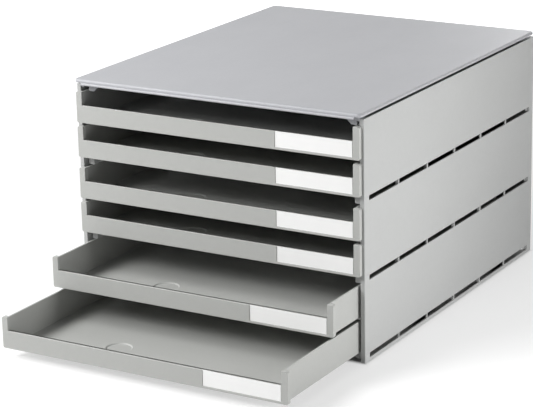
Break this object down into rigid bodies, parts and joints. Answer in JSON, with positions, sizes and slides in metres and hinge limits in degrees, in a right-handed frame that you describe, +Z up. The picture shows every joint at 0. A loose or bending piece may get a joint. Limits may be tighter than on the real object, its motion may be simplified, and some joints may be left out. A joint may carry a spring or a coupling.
{
  "type": "desktop file drawer unit",
  "caption": "Desktop file drawer unit with open-fronted sliding trays for flat papers, in a slotted side panel housing with shelves, top plate and label cards.",
  "frame": {"origin": "bottom centre of the whole unit's box as stored, with the two lowest trays partly pulled out, on the surface it stands on", "axes": "+X to the right seen from the front, +Y from the front to the back, +Z up; the trays pull out towards -Y"},
  "size_m": [0.33, 0.5476, 0.2531],
  "materials": {
    "housing_grey": "light grey fine-grained moulded plastic",
    "top_grey": "light cool grey fine-grained moulded plastic",
    "tray_grey": "light grey fine-grained moulded plastic",
    "card_white": "smooth white card",
    "foot_rubber": "matt dark rubber"
  },
  "bodies": {
    "housing": {"side_panel_left": "housing_grey", "side_panel_right": "housing_grey", "top_plate": "top_grey", "shelf_upper": "housing_grey", "shelf_lower": "housing_grey", "base_plate": "housing_grey", "back_panel": "housing_grey", "foot_front_left": "foot_rubber", "foot_front_right": "foot_rubber", "foot_rear_left": "foot_rubber", "foot_rear_right": "foot_rubber"},
    "drawer_1": {"tray_1": "tray_grey", "label_card_1": "card_white"},
    "drawer_2": {"tray_2": "tray_grey", "label_card_2": "card_white"},
    "drawer_3": {"tray_3": "tray_grey", "label_card_3": "card_white"},
    "drawer_4": {"tray_4": "tray_grey", "label_card_4": "card_white"},
    "drawer_5": {"tray_5": "tray_grey", "label_card_5": "card_white"},
    "drawer_6": {"tray_6": "tray_grey", "label_card_6": "card_white"}
  },
  "joints": [
    {"name": "drawer_1_slide", "type": "slide", "parent": "housing", "child": "drawer_1", "axis": [0, -1, 0], "range_m": [0, 0.29]},
    {"name": "drawer_2_slide", "type": "slide", "parent": "housing", "child": "drawer_2", "axis": [0, -1, 0], "range_m": [0, 0.29]},
    {"name": "drawer_3_slide", "type": "slide", "parent": "housing", "child": "drawer_3", "axis": [0, -1, 0], "range_m": [0, 0.29]},
    {"name": "drawer_4_slide", "type": "slide", "parent": "housing", "child": "drawer_4", "axis": [0, -1, 0], "range_m": [0, 0.29]},
    {"name": "drawer_5_slide", "type": "slide", "parent": "housing", "child": "drawer_5", "axis": [0, -1, 0], "range_m": [-0.054, 0.236]},
    {"name": "drawer_6_slide", "type": "slide", "parent": "housing", "child": "drawer_6", "axis": [0, -1, 0], "range_m": [-0.142, 0.148]}
  ]
}
